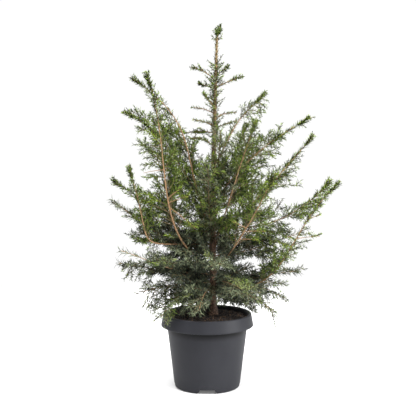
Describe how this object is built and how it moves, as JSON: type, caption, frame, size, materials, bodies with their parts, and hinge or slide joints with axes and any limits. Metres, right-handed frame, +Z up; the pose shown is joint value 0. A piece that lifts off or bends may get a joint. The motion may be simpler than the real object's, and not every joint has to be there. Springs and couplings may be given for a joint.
{
  "type": "potted serbian spruce",
  "caption": "Young spruce with a leaning leader and open, upswept boughs of short needles, standing in a round dark grey nursery pot with a hanging rim and filled with compost.",
  "frame": {"origin": "middle of the pot's flat underside, on the ground", "axes": "+Z up along the pot's axis, +X to the right and -Y to the front as the plant stands in the picture"},
  "size_m": [0.5618, 0.4549, 0.885],
  "materials": {
    "pot": "satin anthracite plastic",
    "soil": "dark crumbly compost",
    "bark": "rough reddish-brown bark",
    "twig": "smooth orange-tan young bark",
    "needles": "matte green needles"
  },
  "bodies": {
    "root": {"pot": "pot", "soil": "soil", "trunk": "bark", "bough_left_front": "twig", "bough_left_tall": "twig", "bough_left_upper": "twig", "bough_left_elbow": "twig", "bough_left_long": "twig", "bough_right_tall": "twig", "bough_right_front_tall": "twig", "bough_right_upper": "twig", "bough_right_middle": "twig", "bough_right_front": "twig", "bough_right_low": "twig", "bough_right_long": "twig", "bough_back_left": "twig", "bough_back_right": "twig", "foliage_left_front": "needles", "foliage_left_tall": "needles", "foliage_left_upper": "needles", "foliage_left_elbow": "needles", "foliage_left_long": "needles", "foliage_right_tall": "needles", "foliage_right_front_tall": "needles", "foliage_right_upper": "needles", "foliage_right_middle": "needles", "foliage_right_front": "needles", "foliage_right_low": "needles", "foliage_right_long": "needles", "foliage_back_left": "needles", "foliage_back_right": "needles", "foliage_left_low": "needles", "foliage_left_inner": "needles", "foliage_right_inner": "needles", "foliage_back_low": "needles", "foliage_low_left": "needles", "foliage_low_left_front": "needles", "foliage_low_right": "needles", "foliage_low_right_front": "needles", "foliage_low_back": "needles", "foliage_drooping_left": "needles", "foliage_drooping_left_front": "needles", "foliage_drooping_front": "needles", "foliage_drooping_right": "needles", "foliage_drooping_right_front": "needles", "foliage_inner_front_low": "needles", "foliage_inner_front": "needles", "foliage_inner_front_high": "needles", "foliage_upper_left_1": "needles", "foliage_upper_left_2": "needles", "foliage_upper_right_2": "needles", "foliage_upper_left_3": "needles", "foliage_upper_right_3": "needles", "foliage_upper_left_4": "needles", "foliage_upper_front_left": "needles", "foliage_top_left_low": "needles", "foliage_top_right": "needles", "foliage_top_left": "needles", "foliage_top_right_back": "needles", "foliage_leader": "needles"}
  },
  "joints": []
}
